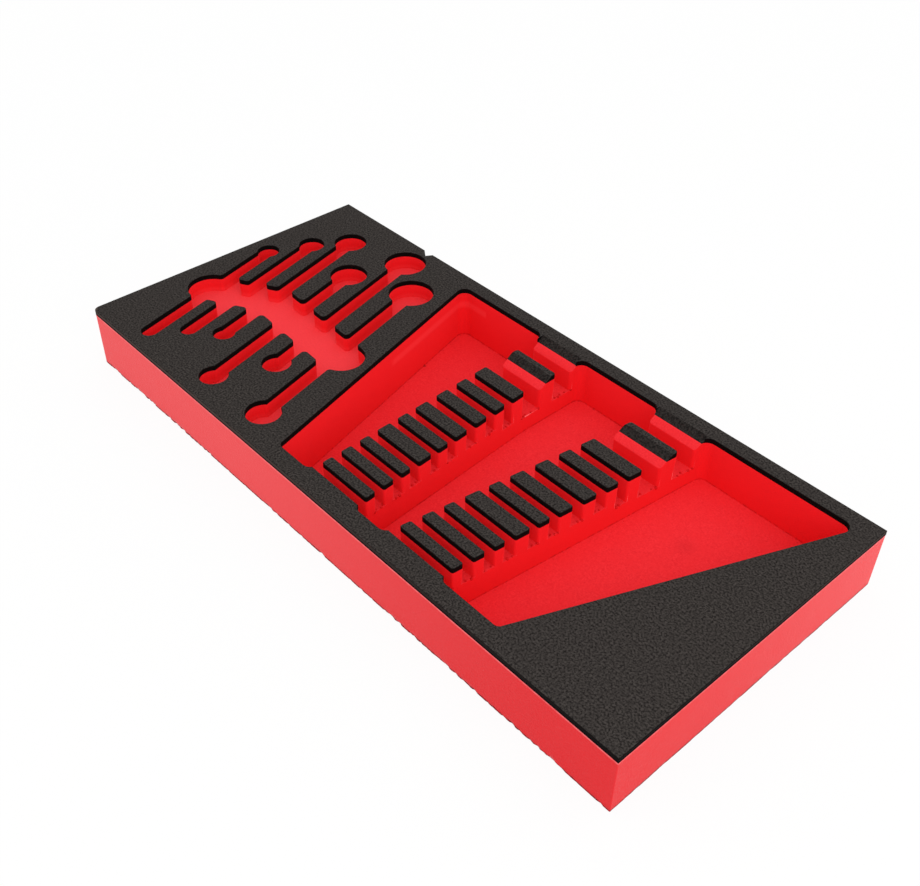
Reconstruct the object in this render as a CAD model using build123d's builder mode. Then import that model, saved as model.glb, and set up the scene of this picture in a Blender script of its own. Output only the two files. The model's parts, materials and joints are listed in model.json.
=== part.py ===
"""Two-tone foam drawer insert for a set of seventeen combination spanners.

A thick red foam base carries a thin black foam skin. The recesses are routed from
the top through the skin, so every tooth left standing in the two combs keeps a
separate black cap. Plan positions are measured from the near left corner.
"""

import os
from collections import namedtuple
from math import atan2, degrees, hypot, radians, tan

from build123d import *

# Foam block
LENGTH = 408.0
WIDTH = 188.0
HEIGHT = 37.0
SKIN_THICKNESS = 3.0
CORNER_RADIUS = 3.5

# V notch cut through the far long side
NOTCH_START = 77.0
NOTCH_MOUTH = 7.8
NOTCH_LEAN = 5.3
NOTCH_DEPTH = 4.0

# Rims and slanted end walls around the three compartments
FAR_RIM = 9.25
NEAR_RIM = 10.5
LEFT_WALL_FAR = 123.5
LEFT_WALL_NEAR = 170.0
RIGHT_RIM_FAR = 9.9
RIGHT_RIM_NEAR = 79.0
COMPARTMENT_RADIUS = 5.0
BLUNT_CORNER_RADIUS = 3.0

# Depths below the top face
LEFT_DEPTH = 33.0
MIDDLE_DEPTH = 28.5
RIGHT_DEPTH = 28.5
POCKET_DEPTH = 11.5

# Shank slots from the far rim to the near rim, and the proportions in which the
# teeth between them share the room that the slots leave
SLOT_WIDTHS = [12.3, 12.3, 6.3, 6.4, 6.5, 5.5, 5.0, 5.7, 5.4, 5.5, 5.5]
TOOTH_SHARES = [12.1, 9.1, 7.6, 8.4, 8.6, 7.0, 8.9, 6.2, 6.8, 6.4]
NEAR_SLOT_STEP = 2.45
BROAD_SLOT_DEPTH = 18.3
THIRD_SLOT_DEPTH = 17.0
SHANK_SLOT_DEPTH = 13.3
TOOTH_RADIUS = 1.2
BROAD_TOOTH_RADIUS = 1.8
SLOT_OVERRUN = 2.5

# Sloping flank that leads into each of the two broad slots
FLANK_RUN = 8.3
FLANK_DROP = 6.0

# Proportions of bay, comb, bay, comb and bay between the two end walls, measured
# along the near wall, at the bend of the comb ends and along the far wall
NEAR_SHARES = [25.2, 35.0, 22.9, 37.5, 38.4]
BEND_SHARES = [54.8, 30.1, 50.6, 32.8, 75.4]
FAR_SHARES = [67.2, 30.1, 57.3, 31.1, 88.9]

# Slanted spanner pockets: head centre from the left and from the far side, head
# radius, tail centre from the near side, tail radius
POCKET_TILT = 14.9
POCKET_WIDTH = 10.0
Pocket = namedtuple("Pocket", "head_x head_gap head tail_gap tail")
POCKETS = [
    Pocket(14.1, 74.4, 6.6, 13.6, POCKET_WIDTH / 2),
    Pocket(25.5, 49.5, 7.8, 30.9, POCKET_WIDTH / 2),
    Pocket(39.5, 29.4, 9.9, 43.7, 6.3),
    Pocket(68.5, 53.6, 11.1, 17.6, 8.0),
    Pocket(81.0, 19.3, 12.7, 49.6, 8.2),
    Pocket(108.6, 38.0, 13.3, 19.5, 9.7),
]

# Finger channel across the slanted pockets: a bent band with a round lobe
FINGER_PATH = [(25.0, 64.0), (60.0, 84.0), (132.0, 80.0)]
FINGER_WIDTH = 25.4
FINGER_LOBE_RADIUS = 13.2
RIB_RADIUS = 2.5

# Levels and positions that follow from the sizes above
BASE_HEIGHT = HEIGHT - SKIN_THICKNESS
FAR_WALL_Y = WIDTH - FAR_RIM
COMB_START_Y = FAR_WALL_Y - FLANK_RUN
COMB_END_Y = NEAR_RIM + NEAR_SLOT_STEP
TOOTH_ROOM = COMB_START_Y - COMB_END_Y - sum(SLOT_WIDTHS)
TOOTH_UNIT = TOOTH_ROOM / sum(TOOTH_SHARES)
SLOT_DEPTHS = [BROAD_SLOT_DEPTH, BROAD_SLOT_DEPTH, THIRD_SLOT_DEPTH]
SLOT_DEPTHS += [SHANK_SLOT_DEPTH] * (len(SLOT_WIDTHS) - len(SLOT_DEPTHS))
POINT_TOLERANCE = 0.001
CORNER_ROOM = 0.4
CORNER_REACH = 1.25

SLOT_SPANS = []
TOOTH_SPANS = []
edge_y = COMB_START_Y
for slot_width, tooth_share in zip(SLOT_WIDTHS, TOOTH_SHARES + [0.0]):
    SLOT_SPANS.append((edge_y - slot_width, edge_y))
    edge_y -= slot_width
    TOOTH_SPANS.append((edge_y - TOOTH_UNIT * tooth_share, edge_y))
    edge_y -= TOOTH_UNIT * tooth_share
TOOTH_SPANS.pop()
BEND_Y = SLOT_SPANS[1][0]


def level(height):
    """Return the horizontal plane at one height, its origin at the near left corner."""
    return Plane(origin=(-LENGTH / 2, -WIDTH / 2, height))


def line_x(start, stop, y):
    """Return the x of the straight line from one point to another at height y."""
    return start[0] + (stop[0] - start[0]) * (y - start[1]) / (stop[1] - start[1])


def comb_borders(y, shares):
    """Return the x of the four comb ends, from left to right, at height y."""
    left_x = line_x(*LEFT_WALL, y)
    unit = (line_x(*RIGHT_WALL, y) - left_x) / sum(shares)
    return [left_x + unit * sum(shares[:count]) for count in range(1, len(shares))]


def end_x(line, y):
    """Return where a bent comb end line stands at height y."""
    if y < BEND_Y:
        return line_x((line.near, NEAR_RIM), (line.bend, BEND_Y), y)
    return line_x((line.bend, BEND_Y), (line.far, FAR_WALL_Y), y)


def tooth_plan(comb, span, radius):
    """Return the outline of one comb tooth with rounded corners."""
    low, high = span
    with BuildSketch() as plan:
        Polygon(
            (end_x(comb.left, low), low),
            (end_x(comb.right, low), low),
            (end_x(comb.right, high), high),
            (end_x(comb.left, high), high),
        )
        fillet(plan.vertices(), radius)
    return plan.sketch


def tooth_radius(index):
    """Return the corner radius of a tooth; the rim and the first tooth are rounder."""
    return BROAD_TOOTH_RADIUS if index < 1 else TOOTH_RADIUS


def slot_plan(comb, index):
    """Return the outline of one shank slot, with the rounding of its neighbours."""
    low, high = SLOT_SPANS[index]
    upper_tooth = TOOTH_SPANS[index - 1] if index else (high, WIDTH)
    top = high + CORNER_REACH * tooth_radius(index - 1)
    bottom = low
    if index < len(TOOTH_SPANS):
        bottom = low - CORNER_REACH * tooth_radius(index)
    with BuildSketch() as plan:
        Polygon(
            (end_x(comb.left, bottom) - SLOT_OVERRUN, bottom),
            (end_x(comb.right, bottom) + SLOT_OVERRUN, bottom),
            (end_x(comb.right, top) + SLOT_OVERRUN, top),
            (end_x(comb.left, top) - SLOT_OVERRUN, top),
        )
        add(tooth_plan(comb, upper_tooth, tooth_radius(index - 1)), mode=Mode.SUBTRACT)
        if index < len(TOOTH_SPANS):
            lower_tooth = tooth_plan(comb, TOOTH_SPANS[index], tooth_radius(index))
            add(lower_tooth, mode=Mode.SUBTRACT)
    return plan.sketch


def compartment_plan(left_side, right_side, near_radii):
    """Return a compartment outline between two sides given from near to far."""
    with BuildSketch() as plan:
        Polygon(*left_side, *reversed(right_side))
        near_left, near_right = near_radii
        corners = {
            left_side[0]: near_left,
            right_side[0]: near_right,
            left_side[-1]: COMPARTMENT_RADIUS,
            right_side[-1]: COMPARTMENT_RADIUS,
        }
        for corner, radius in corners.items():
            fillet(plan.vertices().sort_by_distance(corner)[0], radius)
    return plan.sketch


def comb_side(line):
    """Return the points of a comb end line from the near wall to the far wall."""
    return [(end_x(line, y), y) for y in (NEAR_RIM, BEND_Y, FAR_WALL_Y)]


def band(start, end, width):
    """Return a straight band with round ends between two centres."""
    run_x = end[0] - start[0]
    run_y = end[1] - start[1]
    with BuildSketch() as plan:
        with Locations(((start[0] + end[0]) / 2, (start[1] + end[1]) / 2)):
            angle = degrees(atan2(run_y, run_x))
            SlotCenterToCenter(hypot(run_x, run_y), width, rotation=angle)
    return plan.sketch


def pocket_outline(pocket):
    """Return the outline of one slanted spanner pocket with its head and tail rings."""
    head_y = WIDTH - pocket.head_gap
    lean = (head_y - pocket.tail_gap) * tan(radians(POCKET_TILT))
    head_centre = (pocket.head_x, head_y)
    tail_centre = (pocket.head_x + lean, pocket.tail_gap)
    with BuildSketch() as plan:
        add(band(head_centre, tail_centre, POCKET_WIDTH))
        with Locations(head_centre):
            Circle(pocket.head)
        with Locations(tail_centre):
            Circle(pocket.tail)
    return plan.sketch


# Slanted end walls of the recess, and the bent lines at both ends of each comb
LEFT_WALL = ((LEFT_WALL_NEAR, NEAR_RIM), (LEFT_WALL_FAR, FAR_WALL_Y))
RIGHT_WALL = (
    (LENGTH - RIGHT_RIM_NEAR, NEAR_RIM),
    (LENGTH - RIGHT_RIM_FAR, FAR_WALL_Y),
)
EndLine = namedtuple("EndLine", "near bend far")
near_ends = comb_borders(NEAR_RIM, NEAR_SHARES)
bend_ends = comb_borders(BEND_Y, BEND_SHARES)
far_ends = comb_borders(FAR_WALL_Y, FAR_SHARES)
END_LINES = [EndLine(*ends) for ends in zip(near_ends, bend_ends, far_ends)]
Comb = namedtuple("Comb", "side left right")
COMBS = [Comb("left", *END_LINES[:2]), Comb("right", *END_LINES[2:])]

# Outline of the block with its notch
with BuildSketch() as outline:
    Polygon((0, 0), (LENGTH, 0), (LENGTH, WIDTH), (0, WIDTH))
    fillet(outline.vertices().sort_by_distance((0, 0))[0], CORNER_RADIUS)
    Polygon(
        (NOTCH_START, WIDTH),
        (NOTCH_START + NOTCH_LEAN, WIDTH - NOTCH_DEPTH),
        (NOTCH_START + NOTCH_MOUTH, WIDTH),
        mode=Mode.SUBTRACT,
    )

# Plans of the three compartments
left_compartment = compartment_plan(
    LEFT_WALL,
    comb_side(COMBS[0].left),
    (BLUNT_CORNER_RADIUS, COMPARTMENT_RADIUS),
)
middle_compartment = compartment_plan(
    comb_side(COMBS[0].right),
    comb_side(COMBS[1].left),
    (COMPARTMENT_RADIUS, COMPARTMENT_RADIUS),
)
right_compartment = compartment_plan(
    comb_side(COMBS[1].right),
    RIGHT_WALL,
    (COMPARTMENT_RADIUS, BLUNT_CORNER_RADIUS),
)
COMPARTMENTS = [
    (left_compartment, LEFT_DEPTH),
    (middle_compartment, MIDDLE_DEPTH),
    (right_compartment, RIGHT_DEPTH),
]

# Finger channel
with BuildSketch() as finger_band:
    for start, end in zip(FINGER_PATH, FINGER_PATH[1:]):
        add(band(start, end, FINGER_WIDTH))
    with Locations(FINGER_PATH[0]):
        Circle(FINGER_LOBE_RADIUS)

# Slanted pockets joined by the finger channel, the ends of the ribs rounded
with BuildSketch() as pocket_plan:
    for pocket in POCKETS:
        add(pocket_outline(pocket))
    drawn = pocket_plan.vertices() + finger_band.vertices()
    add(finger_band.sketch)
    rib_corners = [
        v
        for v in pocket_plan.vertices()
        if min(v.distance_to(d) for d in drawn) > POINT_TOLERANCE
    ]
    for rib_corner in rib_corners:
        corner = pocket_plan.vertices().sort_by_distance(rib_corner)[0]
        sides = [
            e.length
            for e in pocket_plan.edges()
            if e.distance_to(corner) < POINT_TOLERANCE
        ]
        fillet(corner, min(RIB_RADIUS, CORNER_ROOM * min(sides)))

# Full opening of the main recess as it is seen in the skin
with BuildSketch() as recess_plan:
    for plan, depth in COMPARTMENTS:
        add(plan)
    for comb in COMBS:
        comb_ys = (COMB_END_Y, BEND_Y, COMB_START_Y)
        left_edge = [(end_x(comb.left, y) - SLOT_OVERRUN, y) for y in comb_ys]
        right_edge = [(end_x(comb.right, y) + SLOT_OVERRUN, y) for y in comb_ys]
        Polygon(*left_edge, *reversed(right_edge))
        add(slot_plan(comb, 0))

# Wedges cut for the sloping flanks of the far rim and of the first tooth
with BuildPart() as flank_cuts:
    for comb in COMBS:
        for wall_y in (COMB_START_Y, TOOTH_SPANS[0][0]):
            flank_ys = (wall_y, wall_y + FLANK_RUN)
            start_x = min(end_x(comb.left, y) for y in flank_ys)
            stop_x = max(end_x(comb.right, y) for y in flank_ys)
            flank_plane = Plane(
                origin=(start_x - LENGTH / 2, -WIDTH / 2, 0),
                x_dir=(0, 1, 0),
                z_dir=(1, 0, 0),
            )
            with BuildSketch(flank_plane):
                Polygon(
                    (wall_y, HEIGHT),
                    (wall_y + FLANK_RUN, HEIGHT),
                    (wall_y, HEIGHT - FLANK_DROP),
                )
            extrude(amount=stop_x - start_x)

os.makedirs("parts", exist_ok=True)

# Red base with all recesses cut to their depths
with BuildPart() as foam_base:
    with BuildSketch(level(0)):
        add(outline.sketch)
    extrude(amount=BASE_HEIGHT)
    for plan, depth in COMPARTMENTS:
        with BuildSketch(level(HEIGHT - depth)):
            add(plan)
        extrude(amount=depth, mode=Mode.SUBTRACT)
    for comb in COMBS:
        for index, depth in enumerate(SLOT_DEPTHS):
            with BuildSketch(level(HEIGHT - depth)):
                add(slot_plan(comb, index))
            extrude(amount=depth, mode=Mode.SUBTRACT)
    with BuildSketch(level(HEIGHT - POCKET_DEPTH)):
        add(pocket_plan.sketch)
    extrude(amount=POCKET_DEPTH, mode=Mode.SUBTRACT)
    add(flank_cuts.part, mode=Mode.SUBTRACT)
foam_base.part.label = "foam_base"
export_step(foam_base.part, "parts/foam_base.step")

# Black skin bonded to the base, open over the recess and the pockets
with BuildPart() as top_skin:
    with BuildSketch(level(BASE_HEIGHT)):
        add(outline.sketch)
        add(recess_plan.sketch, mode=Mode.SUBTRACT)
        add(pocket_plan.sketch, mode=Mode.SUBTRACT)
    extrude(amount=SKIN_THICKNESS)
    add(flank_cuts.part, mode=Mode.SUBTRACT)
top_skin.part.label = "top_skin"
export_step(top_skin.part, "parts/top_skin.step")

# Black cap left on top of every comb tooth
for comb in COMBS:
    for index, span in enumerate(TOOTH_SPANS):
        with BuildPart() as tooth_cap:
            with BuildSketch(level(BASE_HEIGHT)):
                add(tooth_plan(comb, span, tooth_radius(index)))
            extrude(amount=SKIN_THICKNESS)
            if index == 0:
                add(flank_cuts.part, mode=Mode.SUBTRACT)
        cap_name = f"{comb.side}_cap_{index + 1:02d}"
        tooth_cap.part.label = cap_name
        export_step(tooth_cap.part, f"parts/{cap_name}.step")
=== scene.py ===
"""Looks of a two-tone foam drawer insert for seventeen combination spanners.

A thick red foam base is routed under a thin black foam skin. Each tooth of the two
combs keeps its own black cap. All lengths are metres unless a name ends in _mm.
"""

import json
import logging
from dataclasses import dataclass
from enum import Enum
from math import ceil, radians, tau
from typing import Callable, Iterable

import bmesh
import bpy
from mathutils import Matrix, Vector, noise

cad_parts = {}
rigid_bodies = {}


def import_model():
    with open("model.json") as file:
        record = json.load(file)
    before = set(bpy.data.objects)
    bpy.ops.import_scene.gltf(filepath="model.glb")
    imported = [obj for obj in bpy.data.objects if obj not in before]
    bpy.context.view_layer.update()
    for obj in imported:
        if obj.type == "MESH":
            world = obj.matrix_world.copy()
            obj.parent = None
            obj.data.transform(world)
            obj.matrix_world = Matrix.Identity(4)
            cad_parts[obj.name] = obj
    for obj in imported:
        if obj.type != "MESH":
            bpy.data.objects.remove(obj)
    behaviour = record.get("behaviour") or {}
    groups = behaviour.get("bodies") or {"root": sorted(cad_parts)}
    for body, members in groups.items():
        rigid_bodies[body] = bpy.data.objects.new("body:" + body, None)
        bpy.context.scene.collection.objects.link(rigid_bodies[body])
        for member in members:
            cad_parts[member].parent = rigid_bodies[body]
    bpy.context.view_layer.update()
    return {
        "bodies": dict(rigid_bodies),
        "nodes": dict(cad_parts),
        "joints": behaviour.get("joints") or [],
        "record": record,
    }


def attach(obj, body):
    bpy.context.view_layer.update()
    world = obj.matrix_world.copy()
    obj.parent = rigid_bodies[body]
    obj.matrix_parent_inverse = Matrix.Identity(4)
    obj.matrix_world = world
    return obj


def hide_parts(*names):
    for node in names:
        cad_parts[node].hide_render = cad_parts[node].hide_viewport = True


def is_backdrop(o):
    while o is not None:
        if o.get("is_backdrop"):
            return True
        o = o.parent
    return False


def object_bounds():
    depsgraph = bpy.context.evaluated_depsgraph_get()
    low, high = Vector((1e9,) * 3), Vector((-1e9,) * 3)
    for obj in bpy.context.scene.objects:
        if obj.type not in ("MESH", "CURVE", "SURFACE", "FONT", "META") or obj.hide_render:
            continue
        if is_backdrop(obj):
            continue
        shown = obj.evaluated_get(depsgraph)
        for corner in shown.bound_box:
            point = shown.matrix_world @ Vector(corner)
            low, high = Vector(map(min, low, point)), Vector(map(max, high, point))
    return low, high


LOG = logging.getLogger("foam_insert")

MM = 0.001
UP = Vector((0, 0, 1))
BODY = "root"

# A face's upward share, its normal's z, that parts steep faces from level ones
STEEP_BELOW = 0.5
LEVEL_ABOVE = 0.99

# Where the fine tears and the slow sway of the saw cut start in the noise
FINE_START = Vector((7, 3, 1))
SWAY_START = Vector((2, 9, 5))


class Side(Enum):
    """The comb that a tooth cap belongs to."""

    LEFT = "left"
    RIGHT = "right"


class Slot(Enum):
    """Material slots of the insert."""

    RED = "red_foam"
    BLACK = "black_foam"


def linear(hex_colour: str) -> tuple[float, float, float, float]:
    """Turn an sRGB hex colour into linear RGBA.

    Args:
        hex_colour: Six hex digits, such as "ec2a30".

    Returns:
        The four linear channels, alpha 1.
    """
    channels = [int(hex_colour[i : i + 2], 16) / 255 for i in (0, 2, 4)]
    flat = [c / 12.92 if c <= 0.04045 else ((c + 0.055) / 1.055) ** 2.4 for c in channels]
    return (flat[0], flat[1], flat[2], 1.0)


def add_node(
    tree: bpy.types.NodeTree,
    kind: str,
    settings: dict[str, object] | None = None,
    values: dict[str | int, object] | None = None,
    links: dict[str | int, bpy.types.NodeSocket] | None = None,
) -> bpy.types.Node:
    """Add one node with its settings, fixed inputs and links.

    Args:
        tree: The node tree that gets the node.
        kind: The node's type name.
        settings: Attributes of the node itself.
        values: Default values of its inputs, by name or index.
        links: Output sockets that feed its inputs, by name or index.

    Returns:
        The new node.
    """
    node = tree.nodes.new(kind)
    for key, value in (settings or {}).items():
        setattr(node, key, value)
    for key, value in (values or {}).items():
        node.inputs[key].default_value = value
    for key, socket in (links or {}).items():
        tree.links.new(socket, node.inputs[key])
    return node


class Faces(Enum):
    """The faces that a band of painted light or shade lies on."""

    FLAT = "flat"
    WALL = "wall"
    LIP = "lip"


# Limits on a face's upward share, each with the band's strength at its two ends
FACE_LIMITS = {
    Faces.FLAT: ((0.35, 0.8, 0.0, 1.0),),
    Faces.WALL: ((0.35, 0.8, 1.0, 0.0),),
    Faces.LIP: ((0.4, 0.6, 0.0, 1.0), (0.9, 0.99, 1.0, 0.0)),
}


@dataclass(frozen=True)
class Mark:
    """One darker spot or soft shift of colour round a place in the foam, some of them painted
    shade.
    """

    place_mm: tuple[float, float, float]
    radius_mm: float
    depth: float
    colour_hex: str = "a80a10"


@dataclass(frozen=True)
class PaintedLightBand:
    """A strip between two heights on one kind of face, painted over as shade or highlight; at the
    skin's seam also a dark glue line.
    """

    low_mm: float
    high_mm: float
    colour_hex: str
    share: float
    faces: Faces = Faces.WALL
    fade_mm: float = 0.3
    from_x_mm: float = -300.0
    to_x_mm: float = 300.0
    end_fade_mm: float = 1.0
    broken: float = 0.0
    whole_at: tuple[float, float] = (0.4, 0.6)


@dataclass(frozen=True)
class FoamFinish:
    """Closed-cell polyethylene foam, cut by saw or router: matte, finely grained.

    The cells are cut open, so the face is dull and mottled, never glossy.
    """

    name: str
    body_hex: str
    dark_hex: str
    pale_hex: str
    # Colour that upright and sloping faces turn towards: painted shade, partly the cut cells'
    # smear
    wall_shade_hex: str
    cell_mm: float
    mottle_mm: float
    mottle: float
    grain: float
    pit_mm: float
    sheen: float = 0.0
    # Tilts over which the painted wall shade fades in, and its full share
    flat_from: float = 0.35
    flat_to: float = 0.8
    wall_shade_share: float = 0.85
    # Strips of painted shade and painted highlight
    painted_light_bands: tuple[PaintedLightBand, ...] = ()
    # Darker spots, and painted shade round a corner
    marks: tuple[Mark, ...] = ()
    roughness: float = 0.92
    specular: float = 0.2
    sheen_roughness: float = 0.3
    # Size of the noise that breaks the painted bands into patches
    band_patch_mm: float = 2.2
    clouds_at: tuple[float, float] = (0.35, 0.65)
    cell_relief: float = 0.6
    ior: float = 1.49

    def material(self) -> bpy.types.Material:
        """Build the node material of this foam.

        Returns:
            The finished material.
        """
        material = bpy.data.materials.new(self.name)
        material.use_nodes = True
        tree = material.node_tree
        tree.nodes.clear()
        place = add_node(tree, "ShaderNodeTexCoord")
        where = place.outputs["Object"]
        grain = self.grained(tree, where)
        colour = self.mottled(tree, where, grain)
        # Painted shade on upright and sloping faces
        colour = self.wall_shaded(tree, colour, place)
        colour = self.marked(tree, colour, where)
        # Painted shade and painted highlight in bands
        for band in self.painted_light_bands:
            colour = self.light_banded(tree, colour, place, band)
        shader = add_node(
            tree,
            "ShaderNodeBsdfPrincipled",
            None,
            {
                "Roughness": self.roughness,
                "IOR": self.ior,
                "Specular IOR Level": self.specular,
                "Sheen Weight": self.sheen,
                "Sheen Roughness": self.sheen_roughness,
            },
            {"Base Color": colour, "Normal": self.pitted(tree, where, grain)},
        )
        add_node(
            tree,
            "ShaderNodeOutputMaterial",
            None,
            None,
            {"Surface": shader.outputs["BSDF"]},
        )
        return material

    def grained(
        self, tree: bpy.types.NodeTree, where: bpy.types.NodeSocket
    ) -> bpy.types.NodeSocket:
        """Make the grain of the cell walls, at the same size as the cells.

        Args:
            tree: The material's node tree.
            where: The object coordinates.

        Returns:
            The grain, round a middle of 0.5.
        """
        return add_node(
            tree,
            "ShaderNodeTexNoise",
            None,
            {"Scale": 1 / (self.cell_mm * MM), "Detail": 2.0, "Roughness": 0.6},
            {"Vector": where},
        ).outputs["Fac"]

    def pitted(
        self,
        tree: bpy.types.NodeTree,
        where: bpy.types.NodeSocket,
        grain: bpy.types.NodeSocket,
    ) -> bpy.types.NodeSocket:
        """Make the fine relief of cells that are cut open at different depths.

        Real cells are about half as wide. They are drawn wider so that they show.

        Args:
            tree: The material's node tree.
            where: The object coordinates.
            grain: The grain of the cell walls.

        Returns:
            The normal with the relief in it.
        """
        cells = add_node(
            tree,
            "ShaderNodeTexVoronoi",
            {"feature": "F1"},
            {"Scale": 1 / (self.cell_mm * MM), "Randomness": 1.0},
            {"Vector": where},
        )
        relief = add_node(
            tree,
            "ShaderNodeMath",
            {"operation": "MULTIPLY_ADD"},
            {1: self.cell_relief},
            {0: cells.outputs["Distance"], 2: grain},
        )
        return add_node(
            tree,
            "ShaderNodeBump",
            None,
            {"Strength": 1.0, "Distance": self.pit_mm * MM},
            {"Height": relief.outputs["Value"]},
        ).outputs["Normal"]

    def mottled(
        self,
        tree: bpy.types.NodeTree,
        where: bpy.types.NodeSocket,
        grain: bpy.types.NodeSocket,
    ) -> bpy.types.NodeSocket:
        """Fleck the foam dark and pale, and cloud it a few millimetres across.

        Args:
            tree: The material's node tree.
            where: The object coordinates.
            grain: The grain of the cell walls.

        Returns:
            The colour of a level face.
        """
        mottle = add_node(
            tree,
            "ShaderNodeTexNoise",
            None,
            {"Scale": 1 / (self.mottle_mm * MM), "Detail": 3.0, "Roughness": 0.55},
            {"Vector": where},
        )
        fleck = add_node(
            tree,
            "ShaderNodeMapRange",
            {"clamp": True},
            {"From Min": 0.5 - self.grain, "From Max": 0.5 + self.grain},
            {"Value": grain},
        )
        shade = add_node(
            tree,
            "ShaderNodeMix",
            {"data_type": "RGBA"},
            {"A": linear(self.dark_hex), "B": linear(self.pale_hex)},
            {"Factor": fleck.outputs["Result"]},
        )
        cloud = add_node(
            tree,
            "ShaderNodeMapRange",
            {"clamp": True},
            {
                "From Min": self.clouds_at[0],
                "From Max": self.clouds_at[1],
                "To Min": self.mottle,
                "To Max": 0.0,
            },
            {"Value": mottle.outputs["Fac"]},
        )
        return add_node(
            tree,
            "ShaderNodeMix",
            {"data_type": "RGBA"},
            {"B": linear(self.body_hex)},
            {"Factor": cloud.outputs["Result"], "A": shade.outputs["Result"]},
        ).outputs["Result"]

    def wall_shaded(
        self,
        tree: bpy.types.NodeTree,
        colour: bpy.types.NodeSocket,
        place: bpy.types.Node,
    ) -> bpy.types.NodeSocket:
        """Darken upright and sloping faces by their tilt: painted shade, as they catch less light
        than level faces, with a little of the cut cells' smear in it.

        Args:
            tree: The material's node tree.
            colour: The colour of a level face.
            place: The texture coordinates.

        Returns:
            The colour with the painted wall shade in it.
        """
        facing = add_node(tree, "ShaderNodeSeparateXYZ", None, None, {0: place.outputs["Normal"]})
        flatness = add_node(
            tree, "ShaderNodeMath", {"operation": "ABSOLUTE"}, None, {0: facing.outputs["Z"]}
        )
        upright = add_node(
            tree,
            "ShaderNodeMapRange",
            {"clamp": True},
            {
                "From Min": self.flat_from,
                "From Max": self.flat_to,
                "To Min": self.wall_shade_share,
                "To Max": 0.0,
            },
            {"Value": flatness.outputs["Value"]},
        )
        return add_node(
            tree,
            "ShaderNodeMix",
            {"data_type": "RGBA"},
            {"B": linear(self.wall_shade_hex)},
            {"Factor": upright.outputs["Result"], "A": colour},
        ).outputs["Result"]

    def light_banded(
        self,
        tree: bpy.types.NodeTree,
        colour: bpy.types.NodeSocket,
        place: bpy.types.Node,
        band: PaintedLightBand,
    ) -> bpy.types.NodeSocket:
        """Lay one band of painted light or shade over the faces that it belongs to.

        Args:
            tree: The material's node tree.
            colour: The foam's colour so far.
            place: The texture coordinates.
            band: The band.

        Returns:
            The colour with the band in it.
        """
        spot = add_node(tree, "ShaderNodeSeparateXYZ", None, None, {0: place.outputs["Object"]})
        facing = add_node(tree, "ShaderNodeSeparateXYZ", None, None, {0: place.outputs["Normal"]})
        # Noise that breaks the painted band into patches
        torn = add_node(
            tree,
            "ShaderNodeTexNoise",
            None,
            {"Scale": 1 / (self.band_patch_mm * MM), "Detail": 2.0, "Roughness": 0.6},
            {"Vector": place.outputs["Object"]},
        )
        flat = add_node(
            tree, "ShaderNodeMath", {"operation": "ABSOLUTE"}, None, {0: facing.outputs["Z"]}
        )
        fade = band.fade_mm * MM
        end_fade = band.end_fade_mm * MM
        low, high = band.low_mm * MM, band.high_mm * MM
        first, last = band.from_x_mm * MM, band.to_x_mm * MM
        limits = (
            (spot.outputs["Z"], low - fade, low, 0.0, band.share),
            (spot.outputs["Z"], high, high + fade, 1.0, 0.0),
            (spot.outputs["X"], first, first + end_fade, 0.0, 1.0),
            (spot.outputs["X"], last - end_fade, last, 1.0, 0.0),
            (torn.outputs["Fac"], *band.whole_at, 1 - band.broken, 1.0),
            *((flat.outputs["Value"], *limit) for limit in FACE_LIMITS[band.faces]),
        )
        share = None
        for value, least, most, at_least, at_most in limits:
            limit = add_node(
                tree,
                "ShaderNodeMapRange",
                {"clamp": True},
                {"From Min": least, "From Max": most, "To Min": at_least, "To Max": at_most},
                {"Value": value},
            ).outputs["Result"]
            if share is None:
                share = limit
            else:
                share = add_node(
                    tree,
                    "ShaderNodeMath",
                    {"operation": "MULTIPLY"},
                    None,
                    {0: share, 1: limit},
                ).outputs["Value"]
        return add_node(
            tree,
            "ShaderNodeMix",
            {"data_type": "RGBA"},
            {"B": linear(band.colour_hex)},
            {"Factor": share, "A": colour},
        ).outputs["Result"]

    def marked(
        self,
        tree: bpy.types.NodeTree,
        colour: bpy.types.NodeSocket,
        where: bpy.types.NodeSocket,
    ) -> bpy.types.NodeSocket:
        """Lay the single darker spots and the painted corner shade into the colour.

        Args:
            tree: The material's node tree.
            colour: The foam's colour so far.
            where: The object coordinates.

        Returns:
            The colour with the marks in it.
        """
        for mark in self.marks:
            away = add_node(
                tree,
                "ShaderNodeVectorMath",
                {"operation": "DISTANCE"},
                {1: [value * MM for value in mark.place_mm]},
                {0: where},
            )
            share = add_node(
                tree,
                "ShaderNodeMapRange",
                {"clamp": True, "interpolation_type": "SMOOTHSTEP"},
                {
                    "From Min": 0.0,
                    "From Max": mark.radius_mm * MM,
                    "To Min": mark.depth,
                    "To Max": 0.0,
                },
                {"Value": away.outputs["Value"]},
            )
            colour = add_node(
                tree,
                "ShaderNodeMix",
                {"data_type": "RGBA"},
                {"B": linear(mark.colour_hex)},
                {"Factor": share.outputs["Result"], "A": colour},
            ).outputs["Result"]
        return colour


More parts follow.
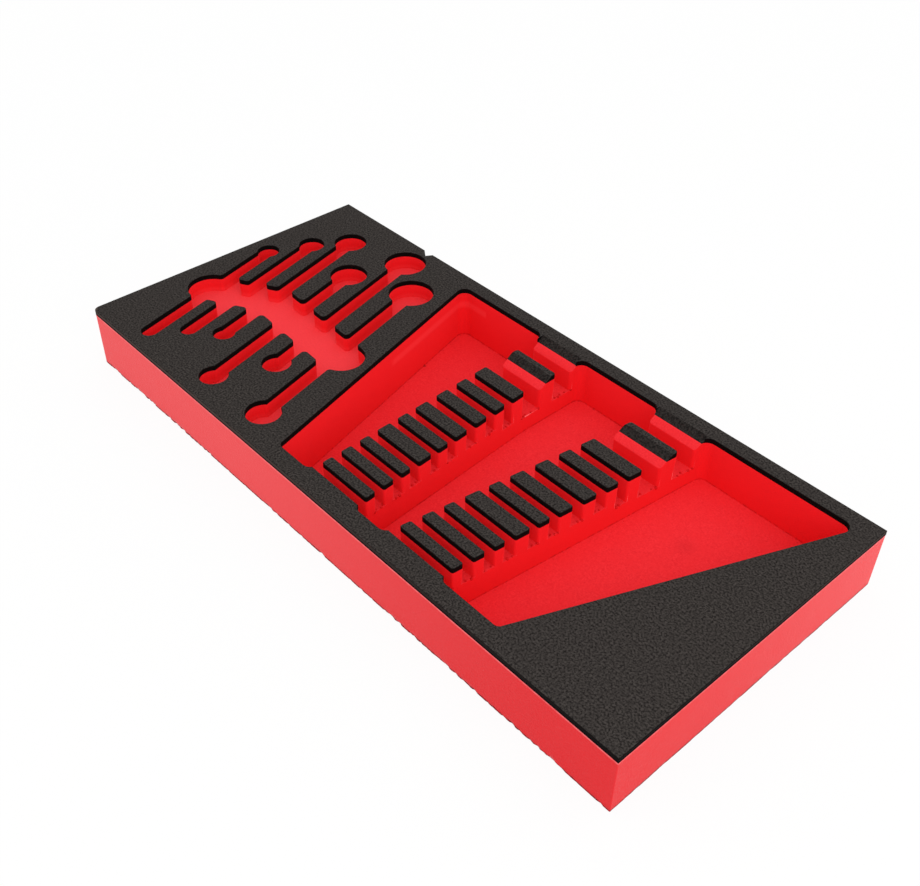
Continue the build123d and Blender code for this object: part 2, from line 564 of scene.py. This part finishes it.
# Router-cut red foam inside the recesses: a full, even red, with painted shade on the walls,
# along the wall feet and on the slot floors, a painted highlight on the slot lips, and painted
# light on the open channel floor and on the lower channel walls at the left
ROUTED_RED = FoamFinish(
    name="routed_red_foam",
    body_hex="f0282f",
    dark_hex="e7212a",
    pale_hex="f63138",
    # Deeper red walls: painted shade
    wall_shade_hex="ee131b",
    cell_mm=0.9,
    mottle_mm=7.0,
    mottle=0.6,
    grain=0.2,
    pit_mm=0.07,
    sheen=0.12,
    painted_light_bands=(
        # Painted shade along the wall feet: at the left bay floor, then at the other floors
        PaintedLightBand(3.9, 4.2, "9a060c", 0.5, fade_mm=1.3, to_x_mm=6.0, broken=0.9),
        PaintedLightBand(8.4, 8.7, "9a060c", 0.5, fade_mm=1.3, from_x_mm=5.0, broken=0.9),
        # Painted shade on the slot floors
        PaintedLightBand(18.0, 24.3, "d00a10", 0.3, faces=Faces.FLAT, broken=0.5),
        # Painted highlight on the rounded slot lips
        PaintedLightBand(17.5, 24.0, "ff8488", 0.9, faces=Faces.LIP, broken=0.6),
        # Painted light on the shallow open channel floor
        PaintedLightBand(25.0, 26.0, "fc4a50", 0.45, faces=Faces.FLAT),
        # Painted light on the lower channel walls at the left
        PaintedLightBand(25.0, 27.0, "f5363c", 0.5, fade_mm=2.0, to_x_mm=-60.0),
    ),
    marks=(
        Mark((132.6, 38.8, 8.5), 9.0, 0.17),
        # Painted shade of a small pit at the left bay's wall foot
        Mark((-68.9, 43.2, 4.3), 1.6, 0.9),
        Mark((89.6, -20.5, 8.8), 1.2, 0.9),
    ),
)

# Saw-cut red foam on the outer sides: pinker than the routed red, partly from its open cells
# and partly as painted sheen of the light on these sides, with a painted highlight on the arris
# under the skin, a painted contact shadow along the torn lower edge and painted shade towards the
# near corner
SAWN_RED = FoamFinish(
    name="sawn_red_foam",
    # Pinker body: partly the open cells, partly painted sheen
    body_hex="ee4d51",
    dark_hex="e0363d",
    pale_hex="fa6367",
    wall_shade_hex="ee4d51",
    cell_mm=1.0,
    mottle_mm=9.0,
    mottle=0.5,
    grain=0.22,
    pit_mm=0.14,
    sheen=0.6,
    sheen_roughness=0.24,
    painted_light_bands=(
        # Painted highlight along the arris under the skin
        PaintedLightBand(33.3, 35.0, "ff9294", 0.5, fade_mm=0.5, broken=0.5),
        # Painted contact shadow along the lower edge
        PaintedLightBand(-1.0, 0.7, "640a10", 0.9, fade_mm=0.7, broken=0.35),
    ),
    # Painted shade over the outer sides, deepest at the near corner
    marks=(Mark((204.0, -94.0, 17.0), 300.0, 0.8, "d8161e"),),
)

# Torn red flakes in the mouths of the slots, where the cutter leaves them; their deeper red is
# painted shade of the shadowed corners there
TORN_SHADED_RED = FoamFinish(
    name="torn_shaded_red_foam",
    body_hex="d40e14",
    dark_hex="c00a10",
    pale_hex="e2181e",
    wall_shade_hex="cc0c12",
    cell_mm=0.5,
    mottle_mm=3.0,
    mottle=0.4,
    grain=0.2,
    pit_mm=0.06,
)

# Fine-celled black foam skin: charcoal with grey flecks on top; near black on the routed walls
# and darker on the slopes, which is painted shade with a little of the cut's own darkness
BLACK_SKIN = FoamFinish(
    name="black_skin_foam",
    body_hex="2f2b29",
    dark_hex="191615",
    pale_hex="45403d",
    # Near-black walls and darker slopes: painted shade, partly the cut
    wall_shade_hex="040202",
    cell_mm=1.0,
    mottle_mm=6.0,
    mottle=0.3,
    grain=0.14,
    pit_mm=0.14,
    specular=0.08,
    flat_from=0.62,
    flat_to=0.95,
    wall_shade_share=0.97,
)

# Saw-cut black foam on the outer sides: browner than the top and lighter, the lightness being
# painted light where the light grazes the cut side; a dark glue line where it meets the red,
# widened by painted shade of the seam; painted shade towards the near corner
SAWN_BLACK = FoamFinish(
    name="sawn_black_foam",
    # Lighter than the top: painted light on the cut side
    body_hex="463d39",
    dark_hex="342d2a",
    pale_hex="564c46",
    wall_shade_hex="463d39",
    cell_mm=1.0,
    mottle_mm=6.0,
    mottle=0.3,
    grain=0.18,
    pit_mm=0.14,
    specular=0.06,
    # Dark glue line at the seam, widened by painted shade
    painted_light_bands=(PaintedLightBand(33.0, 34.9, "040203", 0.97, fade_mm=0.5, broken=0.1),),
    # Painted shade, deepest at the near corner
    marks=(Mark((204.0, -94.0, 35.0), 300.0, 0.95, "060304"),),
)


class Workshop:
    """Keeps one material of each finish and turns meshes into pieces."""

    def __init__(self) -> None:
        """Start with no material made."""
        self.made: dict[str, bpy.types.Material] = {}

    def material(self, finish: FoamFinish) -> bpy.types.Material:
        """Make the material of a finish once, and hand it out from then on.

        Args:
            finish: The finish.

        Returns:
            Its material.
        """
        if finish.name not in self.made:
            self.made[finish.name] = finish.material()
        return self.made[finish.name]

    def piece(
        self,
        name: str,
        mesh: bmesh.types.BMesh,
        finishes: Iterable[FoamFinish],
        slot: Slot,
        nodes: Iterable[str] = (),
        smooth_below: float = 14.0,
    ) -> bpy.types.Object:
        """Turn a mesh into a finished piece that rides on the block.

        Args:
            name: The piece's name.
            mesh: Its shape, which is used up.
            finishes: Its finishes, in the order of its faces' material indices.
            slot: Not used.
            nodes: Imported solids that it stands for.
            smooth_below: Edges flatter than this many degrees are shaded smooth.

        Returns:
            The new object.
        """
        data = bpy.data.meshes.new(name)
        mesh.to_mesh(data)
        mesh.free()
        data.polygons.foreach_set("use_smooth", [True] * len(data.polygons))
        data.set_sharp_from_angle(angle=radians(smooth_below))
        for finish in finishes:
            data.materials.append(self.material(finish))
        piece = bpy.data.objects.new(name, data)
        bpy.context.scene.collection.objects.link(piece)
        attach(piece, BODY)
        if nodes:
            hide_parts(*nodes)
        LOG.info("%s: %d faces", name, len(data.polygons))
        return piece


@dataclass(frozen=True)
class Block:
    """The outline of the whole insert, with its notch and its round corner."""

    length: float = 408 * MM
    width: float = 188 * MM
    top: float = 37 * MM
    round_corner: float = 4 * MM
    notch_from: float = -128 * MM
    notch_to: float = -118 * MM
    notch_depth: float = 4.1 * MM

    def outside(self, place: Vector, slack: float = 0.02 * MM) -> bool:
        """Tell whether a point lies on the outer sides, in the notch or at the round corner.

        Args:
            place: The point.
            slack: How far inside the outer sides it may lie.

        Returns:
            True for a point on the outside.
        """
        to_side = min(self.length / 2 - abs(place.x), self.width / 2 - abs(place.y))
        if to_side < slack:
            return True
        corner = (
            place.x < self.round_corner - self.length / 2
            and place.y < self.round_corner - self.width / 2
        )
        notch = (
            place.y > self.width / 2 - self.notch_depth
            and self.notch_from < place.x < self.notch_to
        )
        return corner or notch


@dataclass(frozen=True)
class FoamCut:
    """How knives and cutters leave foam: shared corners and softened arrises."""

    weld: float = 0.02 * MM
    flat_angle: float = radians(0.6)
    sharp_angle: float = radians(50.0)

    def solid(self, node: bpy.types.Object) -> bmesh.types.BMesh:
        """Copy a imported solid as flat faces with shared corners.

        Args:
            node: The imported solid's object.

        Returns:
            A closed mesh.
        """
        mesh = bmesh.new()
        mesh.from_mesh(node.data)
        bmesh.ops.remove_doubles(mesh, verts=mesh.verts, dist=self.weld)
        bmesh.ops.dissolve_limit(
            mesh, angle_limit=self.flat_angle, verts=mesh.verts, edges=mesh.edges
        )
        return mesh

    def soften(
        self,
        mesh: bmesh.types.BMesh,
        width: float,
        steps: int,
        where: Callable[[Iterable[float]], bool],
    ) -> None:
        """Round the sharp outward arrises whose two end heights pass a test.

        Args:
            mesh: The mesh to round.
            width: How far the rounding reaches on each face.
            steps: Facets across the rounding.
            where: A test of the heights of an arris's two ends.
        """
        arrises = [
            edge
            for edge in mesh.edges
            if edge.is_manifold
            and edge.is_convex
            and edge.calc_face_angle() > self.sharp_angle
            and where([corner.co.z for corner in edge.verts])
        ]
        bmesh.ops.bevel(
            mesh,
            geom=arrises,
            offset=width,
            offset_type="OFFSET",
            segments=steps,
            profile=0.5,
            affect="EDGES",
            clamp_overlap=False,
            loop_slide=True,
        )

    def refill(self, mesh: bmesh.types.BMesh, height: float) -> None:
        """Lay the flat at one height anew between its outlines.

        A rounded arris can run across the seams that join the holes of a flat face.

        Args:
            mesh: The mesh, its arrises already rounded.
            height: The height of the flat.
        """
        flat = {
            face
            for face in mesh.faces
            if all(abs(corner.co.z - height) < self.weld for corner in face.verts)
        }
        rims = [edge for edge in mesh.edges if sum(face in flat for face in edge.link_faces) == 1]
        bmesh.ops.delete(mesh, geom=list(flat), context="FACES")
        rims = [edge for edge in rims if edge.is_valid]
        bmesh.ops.triangle_fill(
            mesh, use_beauty=True, use_dissolve=False, edges=rims, normal=(0, 0, 1)
        )


@dataclass
class RedBase:
    """The thick red block with its routed recesses and saw-cut outer sides."""

    block: Block
    arris: float = 0.35 * MM
    arris_steps: int = 2
    arrises_above: float = 5 * MM
    slot_lip: float = 0.8 * MM
    slot_lip_steps: int = 3
    slot_floors_mm: tuple[float, float] = (18.0, 24.5)
    corner_slack: float = 0.4 * MM
    column_step: float = 1.25 * MM
    row_heights_mm: tuple[float, ...] = (0.6, 1.3, 2.2, 3.4, 5.5, 10.0, 17.0, 25.0)
    cut_reach: float = 0.01 * MM
    ground: float = 0.1 * MM
    foot: float = 0.6 * MM
    sound_rim: float = 1 * MM
    rag_height: float = 3.4 * MM
    rag_depth: float = 0.7 * MM
    rag_lift: float = 0.55 * MM
    rag_flatness: int = 2
    rag_base: float = 0.15
    coarse_rag: float = 1.1
    coarse_size: float = 9 * MM
    fine_rag: float = 1.3
    fine_size: float = 2.6 * MM
    lifted_from: float = 0.2
    sway: float = 0.12 * MM
    sway_size: float = 14 * MM
    end_torn: float = 0.2
    near_torn: float = 1.0
    far_torn: float = 0.7

    def dice(self, mesh: bmesh.types.BMesh) -> None:
        """Divide the outer sides into short columns and rows, closed to the rest.

        Args:
            mesh: The base's mesh.
        """
        spans = ((Vector((1, 0, 0)), self.block.length), (Vector((0, 1, 0)), self.block.width))
        for axis, span in spans:
            count = ceil(span / self.column_step)
            for step in range(1, count):
                offset = -span / 2 + span * step / count
                self.slice(mesh, axis * offset, axis)
        for height_mm in self.row_heights_mm:
            self.slice(mesh, Vector((0, 0, height_mm * MM)), UP)

    def slice(self, mesh: bmesh.types.BMesh, place: Vector, normal: Vector) -> None:
        """Cut the outer sides alone along one plane.

        Args:
            mesh: The base's mesh.
            place: A point of the plane.
            normal: The plane's direction.
        """
        faces = [face for face in mesh.faces if self.is_side(face)]
        edges = {edge for face in faces for edge in face.edges}
        verts = {vert for face in faces for vert in face.verts}
        bmesh.ops.bisect_plane(
            mesh,
            geom=list(verts) + list(edges) + faces,
            dist=self.cut_reach,
            plane_co=place,
            plane_no=normal,
        )

    def is_side(self, face: bmesh.types.BMFace) -> bool:
        """Tell whether a face is upright and lies on the outside."""
        return abs(face.normal.z) <= STEEP_BELOW and self.is_outer(face)

    def is_outer(self, face: bmesh.types.BMFace) -> bool:
        """Tell whether all corners of a face lie on the outside."""
        return all(self.block.outside(corner.co, self.corner_slack) for corner in face.verts)

    def torn_share(self, place: Vector) -> float:
        """Tell how badly the saw tore the lower edge.

        Args:
            place: A point near the lower edge.

        Returns:
            A share, from clean 0 to rough 1.
        """
        if place.x > self.block.length / 2 - self.sound_rim:
            return self.end_torn
        return self.near_torn if place.y < 0 else self.far_torn

    def inward(self, place: Vector) -> Vector:
        """Tell which way leads straight in from the nearest outer side.

        Args:
            place: A point on an outer side.

        Returns:
            The level direction, of length 1.
        """
        inward = Vector((-place.x, -place.y, 0))
        to_end = self.block.length / 2 - abs(place.x)
        if to_end < self.block.width / 2 - abs(place.y):
            inward.y = 0
        else:
            inward.x = 0
        return inward.normalized()

    def ragged(self, mesh: bmesh.types.BMesh) -> None:
        """Tear the lower edge of the outer sides as the saw leaves it.

        Args:
            mesh: The base's mesh, its sides already divided.
        """
        top = max(vert.co.z for vert in mesh.verts)
        underside = [
            face
            for face in mesh.faces
            if face.normal.z < -LEVEL_ABOVE and face.calc_center_median().z < self.ground
        ]
        bmesh.ops.inset_region(mesh, faces=underside, thickness=self.foot, use_even_offset=True)
        for vert in mesh.verts:
            height = vert.co.z
            if height > top - self.sound_rim:
                continue
            if not self.block.outside(vert.co, self.corner_slack):
                continue
            along = Vector((vert.co.x, vert.co.y, height * self.rag_flatness))
            fall = max(0.0, 1 - height / self.rag_height)
            coarse = self.coarse_rag * noise.noise(along / self.coarse_size)
            fine = self.fine_rag * noise.noise(along / self.fine_size + FINE_START)
            bite = max(0.0, self.rag_base + coarse + fine) * self.torn_share(vert.co)
            sway = self.sway * noise.noise(along / self.sway_size + SWAY_START)
            depth = bite * fall * fall * self.rag_depth + abs(sway)
            vert.co += self.inward(vert.co) * depth
            if height < self.ground / 2:
                vert.co.z += max(0.0, bite - self.lifted_from) * self.rag_lift

    def build(self, shop: Workshop, cut: FoamCut, frame: dict) -> None:
        """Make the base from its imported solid.

        Args:
            shop: Makes the piece and its materials.
            cut: Copies and softens the solid.
            frame: The loaded frame.
        """
        mesh = cut.solid(frame["nodes"]["foam_base"])
        low, high = (height * MM for height in self.slot_floors_mm)
        cut.soften(
            mesh,
            self.slot_lip,
            self.slot_lip_steps,
            lambda heights: low < min(heights) and max(heights) < high,
        )
        cut.soften(
            mesh,
            self.arris,
            self.arris_steps,
            lambda heights: max(heights) > self.arrises_above,
        )
        self.dice(mesh)
        for face in mesh.faces:
            sawn = self.is_outer(face) or face.normal.z < -LEVEL_ABOVE
            face.material_index = int(sawn)
        self.ragged(mesh)
        shop.piece("red_base", mesh, (ROUTED_RED, SAWN_RED), Slot.RED, ("foam_base",))


@dataclass
class BlackSkin:
    """The thin black layer bonded to the base, open over every recess."""

    block: Block
    arris: float = 0.45 * MM
    arris_steps: int = 3
    slack: float = 0.1 * MM

    def build(self, shop: Workshop, cut: FoamCut, frame: dict) -> None:
        """Make the skin and round its top arris.

        Args:
            shop: Makes the piece and its materials.
            cut: Copies and softens the solid.
            frame: The loaded frame.
        """
        mesh = cut.solid(frame["nodes"]["top_skin"])
        lowest = self.block.top - self.slack
        cut.soften(mesh, self.arris, self.arris_steps, lambda heights: min(heights) > lowest)
        cut.refill(mesh, self.block.top)
        for face in mesh.faces:
            outer = all(self.block.outside(corner.co, self.arris / 2) for corner in face.verts)
            face.material_index = int(outer)
        shop.piece("black_skin", mesh, (BLACK_SKIN, SAWN_BLACK), Slot.BLACK, ("top_skin",))


@dataclass
class ToothCaps:
    """The black caps left on the teeth of the two combs."""

    block: Block
    teeth: int = 10
    arris: float = 0.5 * MM
    arris_steps: int = 3
    slack: float = 0.1 * MM

    def build(self, shop: Workshop, cut: FoamCut, frame: dict) -> None:
        """Make the twenty caps with rounded top arrises.

        Args:
            shop: Makes the pieces and their materials.
            cut: Copies and softens the solids.
            frame: The loaded frame.
        """
        lowest = self.block.top - self.slack
        for side in Side:
            for number in range(1, self.teeth + 1):
                node = f"{side.value}_cap_{number:02d}"
                mesh = cut.solid(frame["nodes"][node])
                cut.soften(
                    mesh, self.arris, self.arris_steps, lambda heights: min(heights) > lowest
                )
                name = f"{side.value}_tooth_cap_{number:02d}"
                shop.piece(name, mesh, (BLACK_SKIN,), Slot.BLACK, (node,))


@dataclass(frozen=True)
class Scraps:
    """Crumbs of foam that the cutters leave on a strip, and how they are strewn."""

    name: str
    finish: FoamFinish
    spacing_mm: float
    crowd_per_mm2: float
    least_mm: float
    most_mm: float
    seed: int


CRUMBS = Scraps(
    name="router_crumbs",
    finish=ROUTED_RED,
    spacing_mm=2.2,
    crowd_per_mm2=0.07,
    least_mm=0.12,
    most_mm=0.4,
    seed=11,
)
# Flakes in the slot mouths, in the deeper red that paints the shade there
FLAKES = Scraps(
    name="slot_flakes",
    finish=TORN_SHADED_RED,
    spacing_mm=1.8,
    crowd_per_mm2=0.3,
    least_mm=0.45,
    most_mm=1.05,
    seed=23,
)
BURRS = Scraps(
    name="saw_burrs",
    finish=SAWN_RED,
    spacing_mm=1.7,
    crowd_per_mm2=0.4,
    least_mm=0.16,
    most_mm=0.46,
    seed=5,
)


@dataclass
class ScrapScatter:
    """Strews scraps of foam at wall feet, in slot mouths and on the torn lower edge."""

    block: Block
    tree: bpy.types.GeometryNodeTree | None = None
    reach: float = 1.6 * MM
    lift: float = 0.05 * MM
    inset: float = 0.5 * MM
    strip_low: float = 0.5 * MM
    strip_high: float = 1.6 * MM
    bay_low: float = 3 * MM
    bay_top: float = 9 * MM
    slot_low: float = 18 * MM
    slot_top: float = 24.5 * MM
    channel_low: float = 25 * MM
    channel_top: float = 26 * MM

    def node_tree(self) -> bpy.types.GeometryNodeTree:
        """Build the tree that strews small rough lumps over a mesh.

        Returns:
            The tree, with named inputs for every size.
        """
        tree = bpy.data.node_groups.new("foam_scraps", "GeometryNodeTree")
        sockets = (
            ("Strip", "NodeSocketGeometry"),
            ("Spacing", "NodeSocketFloat"),
            ("Crowd", "NodeSocketFloat"),
            ("Least Size", "NodeSocketFloat"),
            ("Most Size", "NodeSocketFloat"),
            ("Seed", "NodeSocketInt"),
            ("Foam", "NodeSocketMaterial"),
        )
        for label, kind in sockets:
            tree.interface.new_socket(label, in_out="INPUT", socket_type=kind)
        tree.interface.new_socket("Scraps", in_out="OUTPUT", socket_type="NodeSocketGeometry")
        entry = add_node(tree, "NodeGroupInput").outputs
        spots = add_node(
            tree,
            "GeometryNodeDistributePointsOnFaces",
            {"distribute_method": "POISSON"},
            None,
            {
                "Mesh": entry["Strip"],
                "Distance Min": entry["Spacing"],
                "Density Max": entry["Crowd"],
                "Seed": entry["Seed"],
            },
        )
        lump = add_node(
            tree, "GeometryNodeMeshIcoSphere", None, {"Radius": 1.0, "Subdivisions": 1}
        )
        size = add_node(
            tree,
            "FunctionNodeRandomValue",
            {"data_type": "FLOAT_VECTOR"},
            None,
            {0: entry["Least Size"], 1: entry["Most Size"], "Seed": entry["Seed"]},
        )
        turn = add_node(
            tree,
            "FunctionNodeRandomValue",
            {"data_type": "FLOAT_VECTOR"},
            {0: (0.0, 0.0, 0.0), 1: (tau, tau, tau)},
            {"Seed": entry["Seed"]},
        )
        strewn = add_node(
            tree,
            "GeometryNodeInstanceOnPoints",
            None,
            None,
            {
                "Points": spots.outputs["Points"],
                "Instance": lump.outputs["Mesh"],
                "Rotation": turn.outputs[0],
                "Scale": size.outputs[0],
            },
        )
        real = add_node(
            tree,
            "GeometryNodeRealizeInstances",
            None,
            None,
            {"Geometry": strewn.outputs["Instances"]},
        )
        painted = add_node(
            tree,
            "GeometryNodeSetMaterial",
            None,
            None,
            {"Geometry": real.outputs["Geometry"], "Material": entry["Foam"]},
        )
        add_node(
            tree, "NodeGroupOutput", None, None, {"Scraps": painted.outputs["Geometry"]}
        )
        return tree

    def floor_strips(
        self,
        solid: bmesh.types.BMesh,
        levels: Iterable[tuple[float, float]],
        at_mouths: bool,
    ) -> bmesh.types.BMesh:
        """Lay a narrow strip on some floors, along wall feet or at open mouths.

        Args:
            solid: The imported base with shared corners.
            levels: Least and greatest heights of the floors that get strips.
            at_mouths: Whether to follow outward arrises and not wall feet.

        Returns:
            The strips.
        """
        strips = bmesh.new()
        for face in solid.faces:
            height = face.calc_center_median().z
            wanted = any(low < height < high for low, high in levels)
            if face.normal.z < LEVEL_ABOVE or not wanted:
                continue
            for loop in face.loops:
                others = [other for other in loop.edge.link_faces if other is not face]
                if not others or abs(others[0].normal.z) > STEEP_BELOW:
                    continue
                if loop.edge.is_convex == at_mouths:
                    self.strip(strips, loop)
        bmesh.ops.translate(strips, verts=strips.verts, vec=(0, 0, self.lift))
        return strips

    def strip(self, strips: bmesh.types.BMesh, loop: bmesh.types.BMLoop) -> None:
        """Add the strip that lies inward of one border of a level face.

        Args:
            strips: The mesh that gets the strip.
            loop: The border, as the face's own loop.
        """
        start, end = loop.vert.co, loop.link_loop_next.vert.co
        inward = UP.cross(end - start).normalized() * self.reach
        corners = (start, end, end + inward, start + inward)
        strips.faces.new([strips.verts.new(corner) for corner in corners])

    def edge_strips(self) -> bmesh.types.BMesh:
        """Stand a low strip just inside the sawn lower edge of each outer side.

        Returns:
            The strips.
        """
        strips = bmesh.new()
        x = self.block.length / 2 - self.inset
        y = self.block.width / 2 - self.inset
        trim = self.block.round_corner
        sides = (
            ((trim - x, -y), (x, -y)),
            ((x, -y), (x, y)),
            ((x, y), (-x, y)),
            ((-x, y), (-x, trim - y)),
        )
        for start, end in sides:
            corners = (
                (*start, self.strip_low),
                (*end, self.strip_low),
                (*end, self.strip_high),
                (*start, self.strip_high),
            )
            strips.faces.new([strips.verts.new(corner) for corner in corners])
        return strips

    def strew(self, shop: Workshop, strips: bmesh.types.BMesh, scraps: Scraps) -> None:
        """Strew scraps over strips and keep the result as one plain piece.

        Args:
            shop: Makes the piece and its materials.
            strips: The strips, which are used up.
            scraps: Their sizes, spacing and seed.
        """
        if self.tree is None:
            self.tree = self.node_tree()
        data = bpy.data.meshes.new(f"{scraps.name}_strips")
        strips.to_mesh(data)
        strips.free()
        carrier = bpy.data.objects.new(f"{scraps.name}_strips", data)
        bpy.context.scene.collection.objects.link(carrier)
        scatter = carrier.modifiers.new("scraps", "NODES")
        scatter.node_group = self.tree
        values = {
            "Spacing": scraps.spacing_mm * MM,
            "Crowd": scraps.crowd_per_mm2 / (MM * MM),
            "Least Size": scraps.least_mm * MM,
            "Most Size": scraps.most_mm * MM,
            "Seed": scraps.seed,
            "Foam": shop.material(scraps.finish),
        }
        for socket in self.tree.interface.items_tree:
            if socket.in_out == "INPUT" and socket.name in values:
                scatter[socket.identifier] = values[socket.name]
        carrier.update_tag()
        graph = bpy.context.evaluated_depsgraph_get()
        plain = bpy.data.meshes.new_from_object(carrier.evaluated_get(graph))
        carrier.modifiers.remove(scatter)
        bpy.data.objects.remove(carrier)
        bpy.data.meshes.remove(data)
        mesh = bmesh.new()
        mesh.from_mesh(plain)
        bpy.data.meshes.remove(plain)
        shop.piece(scraps.name, mesh, (scraps.finish,), Slot.RED)

    def build(self, shop: Workshop, cut: FoamCut, frame: dict) -> None:
        """Strew the crumbs of the floors, the flakes of the slots and the burrs below.

        Args:
            shop: Makes the pieces and their materials.
            cut: Copies the solid.
            frame: The loaded frame.
        """
        solid = cut.solid(frame["nodes"]["foam_base"])
        floors = ((self.bay_low, self.bay_top), (self.channel_low, self.channel_top))
        feet = self.floor_strips(solid, floors, False)
        mouths = self.floor_strips(solid, ((self.slot_low, self.slot_top),), True)
        solid.free()
        self.strew(shop, feet, CRUMBS)
        self.strew(shop, mouths, FLAKES)
        self.strew(shop, self.edge_strips(), BURRS)


@dataclass
class Studio:
    """Pale floor, plain soft light and the camera at the photograph's angle."""

    lens: float = 45.44
    sensor: float = 36.0
    clip_start: float = 0.01
    clip_end: float = 20.0
    place_mm: tuple[float, float, float] = (351.45, -318.34, 419.43)
    azimuth: float = 47.02
    elevation: float = 40.62
    roll: float = 1.12
    ambient: float = 1.0
    floor_hex: str = "f4f4f3"
    floor_white: float = 0.93
    floor_cells: int = 4
    floor_half: float = 2.5
    floor_drop: float = 0.2 * MM
    key_place: tuple[float, float, float] = (1.2, -0.35, 0.8)
    key_size: float = 0.8
    key_watts: float = 4.6

    def camera(self) -> None:
        """Set the camera where the photograph was taken from."""
        data = bpy.data.cameras.new("photo_camera")
        data.lens = self.lens
        data.sensor_width = self.sensor
        data.sensor_fit = "HORIZONTAL"
        data.clip_start = self.clip_start
        data.clip_end = self.clip_end
        camera = bpy.data.objects.new("photo_camera", data)
        bpy.context.scene.collection.objects.link(camera)
        turn = Matrix.Rotation(radians(self.azimuth), 4, "Z")
        tilt = Matrix.Rotation(radians(90 - self.elevation), 4, "X")
        lean = Matrix.Rotation(radians(self.roll), 4, "Z")
        place = Matrix.Translation(Vector(self.place_mm) * MM)
        camera.matrix_world = place @ turn @ tilt @ lean
        bpy.context.scene.camera = camera

    def seen_directly(self, tree: bpy.types.NodeTree) -> bpy.types.NodeSocket:
        """Tell the rays by which the eye sees a surface, in glass and gloss too.

        Args:
            tree: The node tree that asks.

        Returns:
            A value of 1 for those rays.
        """
        path = add_node(tree, "ShaderNodeLightPath")
        gloss = add_node(
            tree,
            "ShaderNodeMath",
            {"operation": "MAXIMUM"},
            None,
            {0: path.outputs["Is Glossy Ray"], 1: path.outputs["Is Transmission Ray"]},
        )
        return add_node(
            tree,
            "ShaderNodeMath",
            {"operation": "MAXIMUM"},
            None,
            {0: path.outputs["Is Camera Ray"], 1: gloss.outputs["Value"]},
        ).outputs["Value"]

    def world(self) -> None:
        """Light from all round, white where the camera looks past the floor."""
        world = bpy.data.worlds.new("studio_world")
        bpy.context.scene.world = world
        world.use_nodes = True
        tree = world.node_tree
        tree.nodes.clear()
        soft = add_node(
            tree, "ShaderNodeBackground", None, {"Color": (1, 1, 1, 1), "Strength": self.ambient}
        )
        white = add_node(
            tree, "ShaderNodeBackground", None, {"Color": (1, 1, 1, 1), "Strength": 1.0}
        )
        seen = add_node(
            tree,
            "ShaderNodeMixShader",
            None,
            None,
            {0: self.seen_directly(tree), 1: soft.outputs[0], 2: white.outputs[0]},
        )
        add_node(tree, "ShaderNodeOutputWorld", None, None, {"Surface": seen.outputs[0]})

    def floor(self) -> None:
        """Lay a pale floor that stays white to the eye and keeps a faint shadow."""
        material = bpy.data.materials.new("pale_floor")
        material.use_nodes = True
        tree = material.node_tree
        tree.nodes.clear()
        paper = add_node(tree, "ShaderNodeBsdfDiffuse", None, {"Color": linear(self.floor_hex)})
        white = add_node(
            tree, "ShaderNodeEmission", None, {"Color": (1, 1, 1, 1), "Strength": 1.0}
        )
        share = add_node(
            tree,
            "ShaderNodeMath",
            {"operation": "MULTIPLY"},
            {1: self.floor_white},
            {0: self.seen_directly(tree)},
        )
        mixed = add_node(
            tree,
            "ShaderNodeMixShader",
            None,
            None,
            {0: share.outputs[0], 1: paper.outputs[0], 2: white.outputs[0]},
        )
        add_node(tree, "ShaderNodeOutputMaterial", None, None, {"Surface": mixed.outputs[0]})
        mesh = bmesh.new()
        bmesh.ops.create_grid(
            mesh,
            x_segments=self.floor_cells,
            y_segments=self.floor_cells,
            size=self.floor_half,
        )
        bmesh.ops.translate(mesh, verts=mesh.verts, vec=(0, 0, -self.floor_drop))
        data = bpy.data.meshes.new("studio_floor")
        mesh.to_mesh(data)
        mesh.free()
        data.materials.append(material)
        floor = bpy.data.objects.new("studio_floor", data)
        bpy.context.scene.collection.objects.link(floor)
        floor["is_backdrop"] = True

    def key_lamp(self) -> None:
        """Hang one soft square lamp at the right that points at the insert."""
        data = bpy.data.lights.new("right_softbox", "AREA")
        data.shape = "SQUARE"
        data.size = self.key_size
        data.energy = self.key_watts
        lamp = bpy.data.objects.new("right_softbox", data)
        bpy.context.scene.collection.objects.link(lamp)
        place = Vector(self.key_place)
        aim = (-place).to_track_quat("-Z", "Y").to_matrix().to_4x4()
        lamp.matrix_world = Matrix.Translation(place) @ aim

    def build(self) -> None:
        """Set up the whole studio."""
        self.camera()
        self.world()
        self.floor()
        self.key_lamp()
        bpy.context.scene.view_settings.view_transform = "Standard"


def write_sizes(piece_box: object) -> None:
    """Define a helper that turns a box into plain numbers; nothing is written.

    Args:
        piece_box: Not used. What object_bounds gives with every piece in place.
    """

    def plain(box: object) -> list:
        """Turn a box into lists of plain numbers."""
        return [[float(value) for value in corner] for corner in box]


def main() -> None:
    """Build every piece of the insert and the studio around it."""
    logging.basicConfig(level=logging.INFO, format="%(name)s %(message)s")
    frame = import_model()
    shop = Workshop()
    cut = FoamCut()
    block = Block()
    for part in (RedBase(block), BlackSkin(block), ToothCaps(block), ScrapScatter(block)):
        part.build(shop, cut, frame)
    Studio().build()
    write_sizes(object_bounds())


if __name__ == "__main__":
    main()
